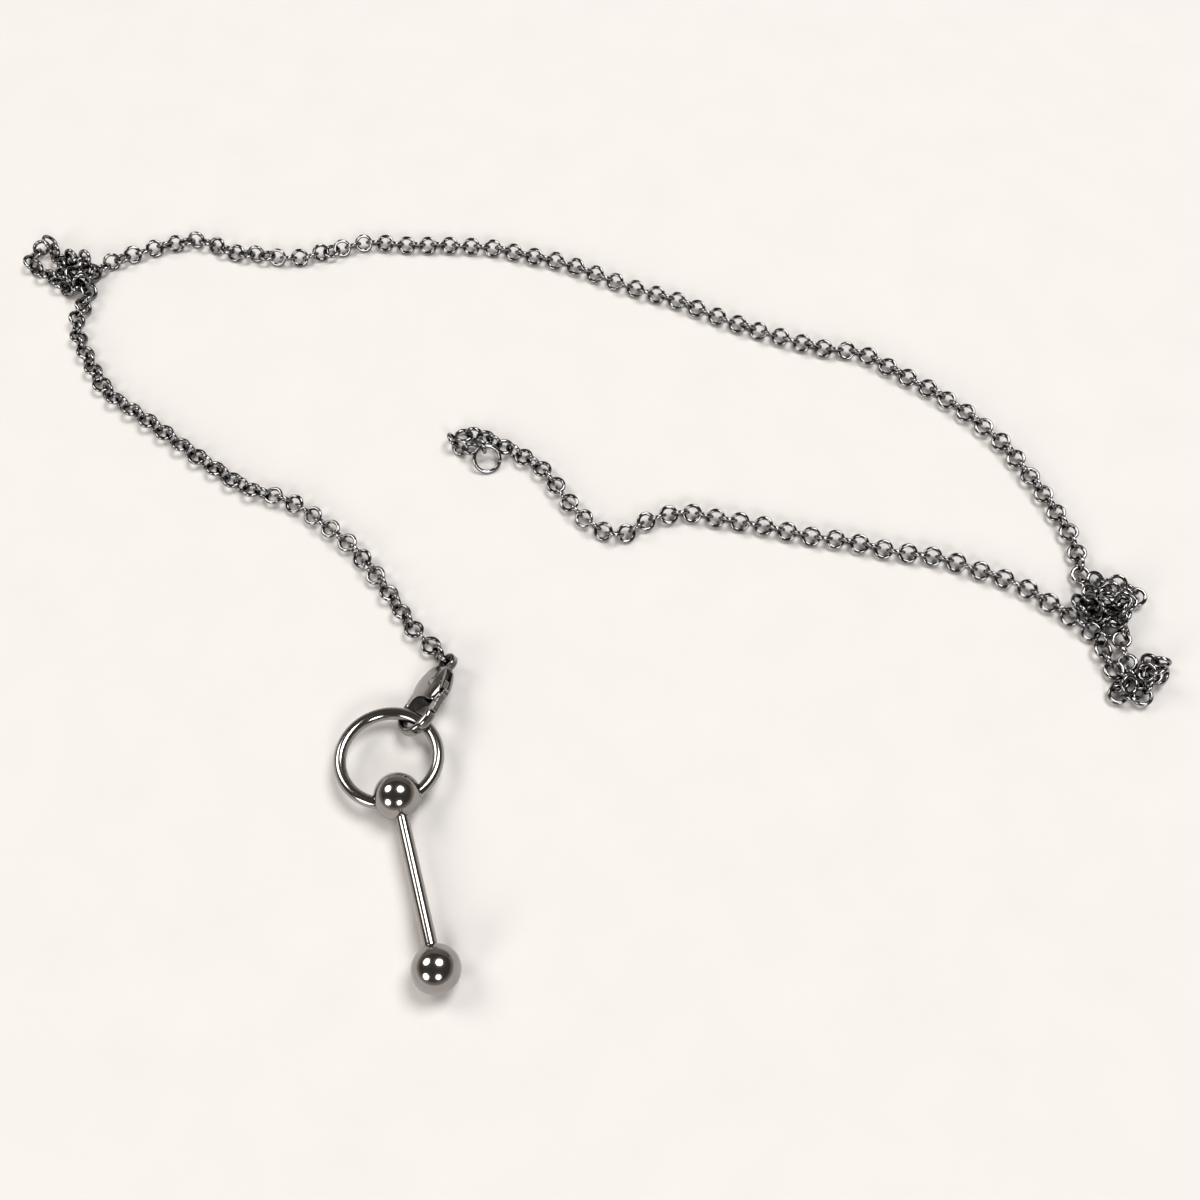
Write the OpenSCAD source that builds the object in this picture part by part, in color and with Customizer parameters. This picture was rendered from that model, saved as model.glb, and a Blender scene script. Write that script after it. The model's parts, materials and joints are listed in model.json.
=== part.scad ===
// Tongue barbell with a captive ring, a lobster clasp and a fine leash chain, lying on a flat surface.
// The leash's route is fixed, and the clasp, the ring and the barbell follow on from its first link.

/* [Barbell] */
// Diameter of both balls
ball_d = 6; // [5:0.1:8]
// Diameter of the straight post
bar_d = 1.7; // [1.2:0.1:2]
// Clear length of the post between the balls
bar_l = 16.4; // [12:0.1:22]
// Diameter of the thinner stud at each end of the post
stud_d = 1; // [0.6:0.05:1.1]
// Length of each stud inside its ball
stud_l = 1.3; // [0.8:0.1:1.5]
// Depth that the post's shoulder sinks into each ball
shoulder_sink = 0.2; // [0.1:0.05:0.3]
// Direction of the post on the surface, in degrees from -Y towards +X
barbell_turn = 15.5; // [0:0.5:40]

/* [Ring] */
// Thickness of the ring's wire
ring_wire = 1.6; // [1.2:0.1:2]
// Inner diameter of the ring
ring_id = 10.8; // [9:0.1:13]
// Diameter of the pivot pin on each end of the ring
ring_pin_d = 0.9; // [0.6:0.05:1.1]
// Depth of the dimple that each end of the ring sits in
dimple_depth = 0.15; // [0.1:0.05:0.4]
// Where the clasp holds the ring, in degrees round the ring from its cross axis
clip_angle = 46; // [40:1:90]

/* [Clasp] */
// Overall width of the clasp
clasp_w = 6.2; // [5.6:0.1:7]
// Length of the clasp from its hook to the centre of its eye
clasp_reach = 11.2; // [10:0.1:12.5]
// Thickness of the hook's band in the clasp's plane
hook_wire = 0.9; // [0.9:0.05:1.2]
// Depth of the hook's band from the clasp's front to its back
hook_depth = 1.5; // [1.4:0.1:1.9]
// Greatest thickness of the cheeks
cheek_t = 2.5; // [1.9:0.1:2.6]
// Outer diameter of the eye
eye_d = 2.7; // [2.4:0.1:3.2]
// Diameter of the hole in the eye
eye_hole_d = 1.5; // [1.2:0.1:1.7]
// Thickness of the eye
eye_t = 1.1; // [0.8:0.1:1.2]
// Thickness of the lever
lever_t = 0.9; // [0.7:0.05:1]
// Diameter of the lever's rivet
rivet_d = 0.8; // [0.6:0.05:0.9]
// How far the clasp leans over its lower edge, in degrees from flat
clasp_lean = 42; // [30:1:45]
// Direction of the clasp on the surface, in degrees from +Y towards +X
clasp_turn = 26; // [15:1:35]

/* [Leash] */
// Outer width of the chain's links, which is the width of the run they make
chain_w = 2.7; // [2.4:0.1:3.1]
// Thickness of the links' wire
link_wire = 0.5; // [0.4:0.05:0.7]
// Outer diameter of the small ring on the leash's free end
end_ring_d = 4.2; // [3.8:0.1:4.6]
// Thickness of that ring's wire
end_ring_wire = 0.55; // [0.4:0.05:0.7]

/* [Fits] */
// Radial clearance between a pin or stud and its bore
pin_clear = 0.03; // [0.02:0.01:0.08]
// Gap between the faces of neighbouring pieces
face_gap = 0.1; // [0.05:0.05:0.2]

/* [Hidden] */
$fn = 96;

steel = [0.36, 0.35, 0.35];
dark_steel = [0.25, 0.24, 0.25];

// Route of the leash from the clasp's eye to its free end, as points on the surface, in the three
// runs that lie between its bunched heaps
eye_at = [-19.85, -10.6];
leash_route = [
    [
        [-21.3, -8.5], [-23.5, -6.3], [-26, -3.4], [-29.5, 2], [-33.5, 7], [-38.5, 11.5], [-43.5, 15],
        [-49, 17], [-54, 20.5], [-60, 25], [-66, 29.5], [-71.5, 33.5], [-75.5, 39.5], [-78, 45],
        [-78, 48.5]
    ],
    [
        [-76, 56.8], [-72, 59], [-67, 61], [-62, 62], [-57, 60], [-52, 59], [-46.5, 58.5], [-41, 60],
        [-35, 61.5], [-29, 61], [-23, 61], [-17, 60.5], [-11, 59], [-5.5, 57.5], [0, 55], [5.5, 52.5],
        [11, 50.5], [17, 47.5], [22.5, 45], [28, 43], [33, 41], [38.5, 41], [43.5, 37], [48.5, 33.5],
        [53, 29.5], [57, 25], [60, 20], [62.5, 15], [65, 8.5], [65.4, 3]
    ],
    [
        [65.9, -5.9], [64.2, -4.2], [62, -2.2], [59.5, -0.4], [57, 1.6], [51.5, 4], [46, 6], [40, 7],
        [34, 8.5], [28, 9.5], [22.5, 11], [17, 12], [12, 13], [7, 12], [2.5, 9.5], [-1.5, 11.5],
        [-5, 15.5], [-8, 20], [-13, 23.5]
    ]
];

// Spines of the bunched heaps, where the leash lies over itself: x, y, half width, height
leash_heaps = [
    [[-78, 48.8, 1.3, 2.6], [-78.4, 51, 2.6, 4], [-79.3, 54, 3, 5], [-79.8, 57, 2.5, 5], [-80.3, 59.5, 1.4, 3]],
    [[-84.7, 54.4, 1.6, 2.6], [-84.9, 56, 2.4, 3.5], [-84.8, 58.3, 2.3, 4.5], [-84.9, 61, 1.9, 4], [-84.8, 63, 1.1, 2.6]],
    [[69, 3.6, 1.8, 3], [69.2, 2.2, 3, 4.5], [69.2, 0.2, 4, 5.5], [68.9, -2.6, 3.4, 5], [68.9, -5, 1.9, 3.5],
        [68, -7.5, 2.2, 3], [68.3, -11, 2.1, 3], [68.9, -13.5, 2.4, 4], [69.2, -15.4, 2.2, 3.5], [69.3, -16.4, 1.2, 2.6]],
    [[72.9, -14, 1, 2.6], [73, -13, 1.5, 3.5], [73, -11.2, 2.3, 4.5], [73, -9.6, 2, 4], [73, -8.8, 1.4, 3]],
    [[-13.3, 23.9, 1.2, 2.6], [-16, 25.2, 1.5, 3], [-18.5, 25, 2, 3], [-20.6, 25, 1.6, 3], [-21.6, 25.2, 0.9, 2.4]]
];
// Section of a heap from its left foot over the top: share of the half width, share of the height
heap_section = [[0.85, 0], [1, 0.3], [0.8, 0.75], [0.35, 1], [-0.35, 1], [-0.8, 0.75], [-1, 0.3], [-0.85, 0]];
tube_sides = 8;

// Where the end ring's lowest point rests, and how it leans back on the last heap
end_ring_at = [-15.5, 20.4];
end_ring_lean = 38;
end_ring_turn = 20;

// Barbell sizes that follow from the ones above
ball_r = ball_d / 2;
bar_r = bar_d / 2;
joint_reach = sqrt(ball_r * ball_r - bar_r * bar_r);
shoulder_at = joint_reach - shoulder_sink;
ball_pitch = bar_l + 2 * joint_reach;
bore_end = shoulder_at - stud_l - face_gap;

// Ring sizes: the wire's centre line crosses the ball's surface on the cross axis
ring_mean = ring_id / 2 + ring_wire / 2;
ring_reach = sqrt(ring_mean * ring_mean - ball_r * ball_r);
dimple_rim = 0.27;
dimple_r = ring_wire / 2 + dimple_rim;
dimple_floor = sqrt(ball_r * ball_r - dimple_r * dimple_r) - dimple_depth;
ring_end = dimple_floor + face_gap;
pin_depth = 0.85;
pin_tip = dimple_floor - pin_depth;

// Clasp sizes in its own frame: X across to the lever, Y along to the eye, Z out of its front
cheek_proud = 0.05;
hook_mean = clasp_w / 2 - cheek_proud - hook_wire / 2;
hook_inner = hook_mean - hook_wire / 2;
ring_play = 0.8;
ring_aside = -0.08;
hook_y = hook_inner - ring_wire / 2 - ring_play;
eye_y = clasp_reach - clasp_w / 2 + hook_y;
gate_top = hook_y + hook_inner;
gate_play = 0.05;
gate_bottom = gate_top - ring_wire - gate_play;
neck_drop = 0.5;
side_rise = eye_y - neck_drop - hook_y;
neck_half = 1;
side_drop = clasp_w / 2 - neck_half;
side_r = (side_rise * side_rise + side_drop * side_drop) / (2 * side_drop);
dome_drop = 1.3;
dome_y = (gate_top + eye_y) / 2 - dome_drop;
dome_r = 10.5;
cheek_foot = 0.4;
spine_top = 1.2;
slot_t = lever_t + face_gap;
pivot_out = 0.9;
pivot_rise = 2.25;
knee_in = 0.75;
knee_rise = 1.35;
knob_in = 0.35;
knob_rise = 1.45;
pivot = [pivot_out, gate_top + pivot_rise];
knee = [clasp_w / 2 - knee_in, gate_top + knee_rise];
knob = [clasp_w / 2 - knob_in, gate_top + knob_rise];
knob_r = 0.55;
arm_r = 0.5;
lever_in = 0.05;
lever_end = [hook_mean, gate_bottom + arm_r + face_gap];
lever_reach = norm(lever_end - pivot) + arm_r;
tip_rise = 0.3;
tip_angle = asin((gate_bottom + tip_rise - hook_y) / hook_mean);
boss_r = 0.7;
boss_room = 0.3;
weld = 0.2;

// Rest of the clasp on its hook or on the lower edge of its cheeks, and of the ring on the clasp
under_gap = 0.02;
hook_side = (hook_depth - hook_wire) / 2;
hook_low = hook_mean * sin(clasp_lean) + hook_side * cos(clasp_lean) + hook_wire / 2;
cheek_low = max([for (y = [hook_y + cheek_foot:0.1:eye_y - neck_drop])
    side_x(y) * sin(clasp_lean) + cheek_half(y) * cos(clasp_lean)]);
clasp_h = max(hook_low, cheek_low) + under_gap;
hook_at = [eye_at[0] - eye_y * sin(clasp_turn), eye_at[1] - eye_y * cos(clasp_turn), clasp_h];
clip_at = hook_at + ring_aside * [
    cos(clasp_lean) * cos(clasp_turn), -cos(clasp_lean) * sin(clasp_turn), sin(clasp_lean)
];
clip_out = ring_reach + ring_mean * sin(clip_angle);
clip_side = ring_mean * cos(clip_angle);
ring_fall = asin((ball_r - clip_at[2]) / clip_out);
clip_run = clip_out * cos(ring_fall);
ball_at = [
    clip_at[0] - clip_side * cos(barbell_turn) + clip_run * sin(barbell_turn),
    clip_at[1] - clip_side * sin(barbell_turn) - clip_run * cos(barbell_turn),
    ball_r
];

// The leash's first link: its wire runs through the eye, and it slopes down to the start of the chain
link_mean = chain_w / 2 - link_wire / 2;
link_dip = 27;
eye_axis = [-sin(clasp_lean) * cos(clasp_turn), sin(clasp_lean) * sin(clasp_turn), cos(clasp_lean)];
leave = leash_route[0][0] - eye_at;
link_way = [leave[0] / norm(leave) * cos(link_dip), leave[1] / norm(leave) * cos(link_dip), -sin(link_dip)];
link_axis = cross(link_way, eye_axis) / norm(cross(link_way, eye_axis));

// Section rings along the runs and the heaps, and the middle of everything, which sets the origin
tube_r = chain_w / 2;
run_rings = [for (run = leash_route) [for (i = [0:len(run) - 1]) tube_ring(run, i)]];
heap_rings = [for (h = leash_heaps) [for (i = [0:len(h) - 1]) heap_ring(h, i)]];
spread = [for (part = concat(run_rings, heap_rings)) for (ring = part) for (p = ring) p];
low_x = min([for (p = spread) p[0]]);
high_x = max([for (p = spread) p[0]]);
high_y = max([for (p = spread) p[1]]);
low_y = ball_at[1] - ball_pitch * cos(barbell_turn) - ball_r;
middle = [(low_x + high_x) / 2, (low_y + high_y) / 2];

// Half width of the clasp's cheeks, and their half thickness at that edge, at a place along the clasp
function side_x(y) = clasp_w / 2 - side_r + sqrt(side_r * side_r - (y - hook_y) * (y - hook_y));
function cheek_half(y) =
    sqrt(dome_r * dome_r - side_x(y) * side_x(y) - (y - dome_y) * (y - dome_y)) - dome_r + cheek_t / 2;
// Direction of a list of points at one of them, from its neighbours
function way_at(list, i) =
    let (
        last = len(list) - 1,
        from = list[max(i - 1, 0)],
        to = list[min(i + 1, last)],
        step = [to[0] - from[0], to[1] - from[1]]
    )
    step / norm(step);
// Point at a distance to the left of the route and a height above the surface
function beside(p, way, left, up) = [p[0] - way[1] * left, p[1] + way[0] * left, up];
// One ring of the tube, square to the route, resting on a flat side
function tube_ring(run, i) =
    [for (k = [0:tube_sides - 1])
        let (a = 360 / tube_sides * (k + 0.5))
        beside(run[i], way_at(run, i), tube_r * cos(a), tube_r * (cos(180 / tube_sides) + sin(a)))];
// One ring of a heap, square to its spine
function heap_ring(spine, i) =
    [for (c = heap_section)
        beside(spine[i], way_at(spine, i), c[0] * spine[i][2], c[1] * spine[i][3])];
// Faces of a solid made of rings of n points, closed at both ends
function skin_faces(rings, n) = concat(
    [[for (k = [0:n - 1]) n - 1 - k]],
    [for (i = [0:rings - 2]) for (k = [0:n - 1])
        let (a = i * n + k, b = i * n + (k + 1) % n)
        [a, b, b + n]],
    [for (i = [0:rings - 2]) for (k = [0:n - 1])
        let (a = i * n + k, b = i * n + (k + 1) % n)
        [a, b + n, a + n]],
    [[for (k = [0:n - 1]) (rings - 1) * n + k]]
);

module place() translate([-middle[0], -middle[1], 0]) children();
module at_barbell() place() translate(ball_at) rotate([0, 0, barbell_turn]) children();
module at_ring() at_barbell() rotate([-ring_fall, 0, 0]) children();
module at_clasp() place() translate(hook_at) rotate([0, 0, -clasp_turn]) rotate([0, -clasp_lean, 0]) children();

// Straight round bar with flat ends between two points
module rod(from, to, r) {
    way = to - from;
    translate(from)
        rotate([0, acos(way[2] / norm(way)), atan2(way[1], way[0])])
            cylinder(r = r, h = norm(way));
}

// Flat bar with round ends between two points in the plane
module flat_bar(from, to, r) {
    way = to - from;
    translate(from) circle(r);
    translate(to) circle(r);
    translate(from) rotate(atan2(way[1], way[0])) translate([0, -r]) square([norm(way), 2 * r]);
}

// Post with a shoulder and a thinner stud at each end
module bar() color(steel) at_barbell() {
    shaft_from = shoulder_at + face_gap / 4;
    shaft_to = ball_pitch - shaft_from;
    rod([0, -shaft_from, 0], [0, -shaft_to, 0], bar_r);
    rod([0, -shaft_from + stud_l, 0], [0, -shaft_to - stud_l, 0], stud_d / 2);
}

// Ball with a blind bore and a recess for the post, opening along -Y
module drilled_ball() {
    difference() {
        sphere(r = ball_r);
        rod([0, -bore_end, 0], [0, -ball_r, 0], stud_d / 2 + pin_clear);
        rod([0, -shoulder_at, 0], [0, -ball_r - 1, 0], bar_r + pin_clear);
    }
}

// Upper ball with a dimple and a pin bore on each side for the ring
module ring_ball() color(steel) at_barbell()
    difference() {
        drilled_ball();
        for (s = [-1, 1]) {
            rod([s * (pin_tip - face_gap), 0, 0], [s * ball_r, 0, 0], ring_pin_d / 2 + pin_clear);
            rod([s * dimple_floor, 0, 0], [s * (ball_r + 1), 0, 0], dimple_r);
        }
    }

// Lower ball, which unscrews from the post
module end_ball() color(steel) at_barbell()
    translate([0, -ball_pitch, 0]) rotate([0, 0, 180]) drilled_ball();

// Captive ring, open at the ball, with a pivot pin on each end
module swing_ring() color(steel) at_ring() {
    difference() {
        translate([0, ring_reach, 0]) rotate_extrude() translate([ring_mean, 0]) circle(r = ring_wire / 2);
        translate([-ring_end, -ball_d, -ball_d]) cube([2 * ring_end, ball_d * 1.5, 2 * ball_d]);
    }
    for (s = [-1, 1])
        rod([s * pin_tip, 0, 0], [s * (ring_end + weld), 0, 0], ring_pin_d / 2);
}

// Outline of the clasp's solid upper part: two long arcs that meet above the eye
module cheek_outline()
    difference() {
        intersection() {
            translate([clasp_w / 2 - side_r, hook_y]) circle(side_r, $fn = 180);
            translate([side_r - clasp_w / 2, hook_y]) circle(side_r, $fn = 180);
        }
        translate([-clasp_w, hook_y + cheek_foot - clasp_reach]) square([2 * clasp_w, clasp_reach]);
        translate([0, hook_y]) circle(hook_inner);
        translate([0, hook_y - 1]) square([clasp_w, gate_top - hook_y + 1]);
    }

// Section of the hook and its spine, with round front and back edges
module hook_section() {
    square([hook_wire, 2 * hook_side], center = true);
    for (s = [-1, 1])
        translate([0, s * hook_side]) circle(d = hook_wire);
}

// Hook, spine, cheeks and eye of the clasp in one casting, slotted for the lever
module clasp_body() color(steel) at_clasp()
    difference() {
        union() {
            translate([0, hook_y]) rotate([0, 0, 180])
                rotate_extrude(angle = 180 + tip_angle) translate([hook_mean, 0]) hook_section();
            translate([-hook_mean, hook_y, 0]) rotate([-90, 0, 0]) linear_extrude(spine_top) hook_section();
            intersection() {
                translate([0, 0, -cheek_t]) linear_extrude(2 * cheek_t) cheek_outline();
                translate([0, dome_y, cheek_t / 2 - dome_r]) sphere(dome_r, $fn = 180);
                translate([0, dome_y, dome_r - cheek_t / 2]) sphere(dome_r, $fn = 180);
            }
            translate([0, eye_y, -eye_t / 2]) cylinder(d = eye_d, h = eye_t);
        }
        translate([0, eye_y, -cheek_t]) cylinder(d = eye_hole_d, h = 2 * cheek_t);
        translate([pivot[0] - boss_r - boss_room, gate_bottom, -slot_t / 2])
            cube([clasp_w, pivot[1] + boss_r + boss_room - gate_bottom, slot_t]);
        translate([pivot[0], pivot[1], -cheek_t]) cylinder(d = rivet_d + 2 * pin_clear, h = 2 * cheek_t);
        // The hook's tip ends along the path of the lever's end
        intersection() {
            translate([pivot[0], pivot[1], -cheek_t]) cylinder(r = lever_reach + face_gap, h = 2 * cheek_t);
            translate([pivot[0], hook_y, -cheek_t]) cube([clasp_w, gate_top - hook_y - weld, 2 * cheek_t]);
        }
    }

// Lever with its pivot boss, its back along the clasp's side, its arm to the hook's tip and its thumb knob
module clasp_lever() color(steel) at_clasp()
    difference() {
        translate([0, 0, -lever_t / 2]) linear_extrude(lever_t) {
            translate(pivot) circle(boss_r);
            flat_bar(pivot, knee, arm_r);
            flat_bar(knee, lever_end, arm_r);
            intersection() {
                translate([clasp_w / 2 - side_r - lever_in, hook_y]) circle(side_r, $fn = 180);
                translate([pivot[0], knee[1]]) square([clasp_w / 2, pivot[1] + boss_r - knee[1]]);
            }
            translate(knob) circle(knob_r);
        }
        translate([pivot[0], pivot[1], -cheek_t]) cylinder(d = rivet_d + 2 * pin_clear, h = 2 * cheek_t);
    }

// Rivet that the lever turns on
module clasp_rivet() color(steel) at_clasp()
    translate([pivot[0], pivot[1], -cheek_t / 2]) cylinder(d = rivet_d, h = cheek_t);

// Solid skin over a list of section rings
module skin(rings)
    polyhedron([for (r = rings) for (p = r) p], skin_faces(len(rings), len(rings[0])), convexity = 10);

// Round link of the chain, with its middle at one point and its axis along a direction
module link(at, axis)
    translate(at)
        rotate([0, acos(axis[2]), atan2(axis[1], axis[0])])
            rotate_extrude() translate([link_mean, 0]) circle(d = link_wire);

// Leash chain: the link in the clasp's eye, the runs that the other links make, and the heaps between
module leash_chain() color(dark_steel) place() {
    link([eye_at[0], eye_at[1], clasp_h] + link_mean * link_way, link_axis);
    for (r = run_rings) skin(r);
    for (r = heap_rings) skin(r);
}

// Small ring on the leash's free end
module end_ring() color(steel) place()
    translate([end_ring_at[0], end_ring_at[1], end_ring_wire / 2])
        rotate([end_ring_lean, 0, end_ring_turn])
            translate([0, end_ring_d / 2 - end_ring_wire / 2, 0])
                rotate_extrude() translate([end_ring_d / 2 - end_ring_wire / 2, 0]) circle(d = end_ring_wire);

bar();
ring_ball();
end_ball();
swing_ring();
clasp_body();
clasp_lever();
clasp_rivet();
leash_chain();
end_ring();
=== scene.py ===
# %% [markdown]
# # A tongue barbell on its leash chain
# The real thing is body jewellery of polished dark steel: a straight post with a ball at each end, a
# captive ring that swings on the upper ball, a lobster clasp hooked on that ring, and a long, fine
# chain that lies on paper with three bunched places in it. Every piece is tiny, so the script thinks in
# millimetres and turns them into the scene's metres where it writes a mesh.

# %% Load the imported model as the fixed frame
import json
import math
import bpy
import numpy as np
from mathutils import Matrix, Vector


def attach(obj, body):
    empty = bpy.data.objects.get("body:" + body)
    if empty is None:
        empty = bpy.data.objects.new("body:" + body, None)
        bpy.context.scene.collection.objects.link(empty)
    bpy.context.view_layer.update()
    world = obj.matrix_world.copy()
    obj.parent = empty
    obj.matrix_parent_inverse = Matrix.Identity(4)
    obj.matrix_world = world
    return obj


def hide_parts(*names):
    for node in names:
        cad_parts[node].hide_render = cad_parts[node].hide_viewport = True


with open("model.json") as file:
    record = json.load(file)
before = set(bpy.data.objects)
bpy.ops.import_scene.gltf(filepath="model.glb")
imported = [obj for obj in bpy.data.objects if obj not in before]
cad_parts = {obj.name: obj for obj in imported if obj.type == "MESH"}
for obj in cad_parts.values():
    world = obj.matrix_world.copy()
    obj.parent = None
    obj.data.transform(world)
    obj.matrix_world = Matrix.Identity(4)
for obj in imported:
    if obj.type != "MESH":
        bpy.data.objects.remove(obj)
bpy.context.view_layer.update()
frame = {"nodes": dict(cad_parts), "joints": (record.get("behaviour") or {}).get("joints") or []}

MM = 0.001
UP = np.array([0.0, 0.0, 1.0])
joints = {joint["name"]: joint for joint in frame["joints"]}
print("pieces in the frame:", sorted(frame["nodes"]))

# %% [markdown]
# ## Measures taken from the frame
# Nothing here is typed twice. A node's corners are its mesh's vertices, so a ball's radius is half of
# its height, and the plane of a ring is the one that its vertices leave least.


# %% Corners, extents and planes of a node, in millimetres
def corners(node):
    mesh = frame["nodes"][node].data
    flat = np.zeros(len(mesh.vertices) * 3)
    mesh.vertices.foreach_get("co", flat)
    return flat.reshape(-1, 3) / MM


def unit(way):
    way = np.asarray(way, float)
    return way / np.linalg.norm(way)


def span(node, way):
    reach = corners(node) @ way
    return reach.min(), reach.max()


def ring_plane(node):
    points = corners(node)
    axis = unit(np.linalg.svd(points - points.mean(0), full_matrices=False)[2][2])
    return axis if axis @ UP > 0 else -axis


swing, unscrew, turn = (joints[name] for name in ("barbell_swing", "ball_unscrew", "lever_turn"))
ball_at = np.array(swing["pos_m"]) / MM
cross_way = unit(-np.array(swing["axis"]))
post_way = unit(unscrew["axis"])
clasp_front = unit(-np.array(turn["axis"]))
clasp_along = unit(np.cross(clasp_front, UP))
clasp_across = np.cross(clasp_along, clasp_front)
print("upper ball at", ball_at.round(2), "post points", post_way.round(3))

# %% [markdown]
# ## Where the photograph was taken from
# A product shot from about 63 degrees above the table, a little under 20 cm away. The aim is the table
# point in the middle of the picture. The clasp's eye is the one place that the frame and the picture's
# own table share exactly, so it fixes the step between them.

# %% Camera
EYE_ON_TABLE = np.array([-19.85, -10.6])
EYE_R = 1.35
pivot_at = np.array(turn["pos_m"]) / MM
clasp_middle = sum(span("clasp_body", clasp_across)) / 2
eye_far = span("clasp_body", clasp_along)[1]
eye_at = (pivot_at @ clasp_front * clasp_front + clasp_middle * clasp_across
          + (eye_far - EYE_R) * clasp_along)
print("clasp's eye at", eye_at.round(2))
table_step = np.append(eye_at[:2] - EYE_ON_TABLE, 0)

PICTURE = 1200
SENSOR, LENS = 36, 43.2
VIEW_HEIGHT = math.radians(62.7)
VIEW_DISTANCE = 195.0
view_way = np.array([0, math.cos(VIEW_HEIGHT), -math.sin(VIEW_HEIGHT)])
view_right = np.array([1.0, 0, 0])
view_up = np.cross(view_right, view_way)
camera_data = bpy.data.cameras.new("view")
camera_data.sensor_width = SENSOR
camera_data.lens = LENS
camera_data.clip_start = 0.005
camera_data.clip_end = 20
camera = bpy.data.objects.new("view", camera_data)
camera.location = Vector((table_step - VIEW_DISTANCE * view_way) * MM)
camera.rotation_euler = (math.pi / 2 - VIEW_HEIGHT, 0, 0)
scene = bpy.context.scene
scene.collection.objects.link(camera)
scene.camera = camera
print("camera at", [round(c, 4) for c in camera.location])


# %% [markdown]
# ## Node materials
# A procedural material is a chain of small steps: a texture is measured on the piece, a ramp or a range
# turns it into something useful, and it goes into one socket of the shader. These helpers keep each
# material below down to the steps that matter.


# %% Helpers for materials
class Finish:
    def __init__(self, name, **sockets):
        self.material = bpy.data.materials.new(name)
        self.material.use_nodes = True
        self.tree = self.material.node_tree
        self.shader = self.tree.nodes["Principled BSDF"]
        for socket, value in sockets.items():
            self.shader.inputs[socket.replace("_", " ")].default_value = value
        self.place = self.tree.nodes.new("ShaderNodeTexCoord").outputs["Object"]

    def link(self, source, target):
        self.tree.links.new(source, target)

    def node(self, kind, **settings):
        made = self.tree.nodes.new("ShaderNode" + kind)
        for name, value in settings.items():
            setattr(made, name, value)
        return made

    def stretched(self, scale, turned):
        mapping = self.node("Mapping")
        mapping.inputs["Scale"].default_value = scale
        mapping.inputs["Rotation"].default_value = turned
        self.link(self.place, mapping.inputs["Vector"])
        return mapping.outputs["Vector"]

    def noise(self, size, detail=3.0, rough=0.5, where=None):
        made = self.node("TexNoise")
        made.inputs["Scale"].default_value = 1 / size
        made.inputs["Detail"].default_value = detail
        made.inputs["Roughness"].default_value = rough
        self.link(where or self.place, made.inputs["Vector"])
        return made.outputs["Fac"]

    def range(self, source, low, high, start=0.3, end=0.7):
        made = self.node("MapRange")
        for socket, value in (("From Min", start), ("From Max", end), ("To Min", low), ("To Max", high)):
            made.inputs[socket].default_value = value
        self.link(source, made.inputs["Value"])
        return made.outputs["Result"]

    def colours(self, source, *stops, painted_shade=None):
        ramp = self.node("ValToRGB")
        points = ramp.color_ramp.elements
        while len(points) < len(stops):
            points.new(0.5)
        for point, (where, colour) in zip(points, stops):
            point.position = where
            point.color = (*colour, 1)
        self.link(source, ramp.inputs["Fac"])
        colour = ramp.outputs["Color"]
        # Painted shade: the ramp's colour is multiplied by it, so shut-in places come out darker.
        if painted_shade:
            mix = self.node("Mix", data_type="RGBA", blend_type="MULTIPLY")
            mix.inputs[0].default_value = 1.0
            self.link(colour, mix.inputs[6])
            self.link(painted_shade, mix.inputs[7])
            colour = mix.outputs[2]
        self.link(colour, self.shader.inputs["Base Color"])

    def painted_hollow_shade(self, reach, least, shut=0.15, clear=0.85):
        """Painted shade for a base colour: 1 where the surface is open to the room, and least where nearby
        parts shut it in.
        """
        made = self.node("AmbientOcclusion", samples=4)
        made.inputs["Distance"].default_value = reach
        return self.range(made.outputs["AO"], least, 1.0, shut, clear)

    def bump(self, *layers):
        normal = None
        for source, strength, depth in layers:
            made = self.node("Bump")
            made.inputs["Strength"].default_value = strength
            made.inputs["Distance"].default_value = depth
            self.link(source, made.inputs["Height"])
            if normal:
                self.link(normal, made.inputs["Normal"])
            normal = made.outputs["Normal"]
        self.link(normal, self.shader.inputs["Normal"])


# %% [markdown]
# ## Paper and room
# The photograph has one cream sheet under everything and nothing behind it. A large sheet that curves up
# far behind the object does both jobs, and its grain is two sizes of noise: the felt marks of the sheet
# and its fibres.

# %% Paper material
FELT_SIZE, FIBRE_SIZE = 9 * MM, 0.45 * MM
FELT_DEPTH, FIBRE_DEPTH = 0.25 * MM, 0.04 * MM
PAPER_DARK, PAPER_LIGHT = (0.570, 0.544, 0.520), (0.583, 0.557, 0.533)
paper = Finish("cream_paper", Roughness=0.92, Specular_IOR_Level=0.25)
felt = paper.noise(FELT_SIZE, 4)
fibre = paper.noise(FIBRE_SIZE, 3)
paper.colours(felt, (0.3, PAPER_DARK), (0.7, PAPER_LIGHT))
paper.bump((felt, 0.35, FELT_DEPTH), (fibre, 0.25, FIBRE_DEPTH))
print("paper material:", paper.material.name)

# %% Sheet that lies flat, then curves up behind
SHEET_HALF = 1500.0
SHEET_FRONT, SHEET_BACK, SHEET_TOP = -1500.0, 1100.0, 900.0
CURVE_R = 350.0


def sheet_profile(steps=24):
    arc = [math.radians(90 * i / steps) for i in range(steps + 1)]
    curve = [(SHEET_BACK + CURVE_R * math.sin(a), CURVE_R * (1 - math.cos(a))) for a in arc]
    return [(SHEET_FRONT, 0.0)] + curve + [(SHEET_BACK + CURVE_R, SHEET_TOP)]


def new_object(name, points, faces, material):
    mesh = bpy.data.meshes.new(name)
    mesh.from_pydata([tuple(p) for p in np.asarray(points, float) * MM], [], faces)
    mesh.validate()
    mesh.polygons.foreach_set("use_smooth", [True] * len(mesh.polygons))
    mesh.materials.append(material)
    made = bpy.data.objects.new(name, mesh)
    scene.collection.objects.link(made)
    return made


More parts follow.
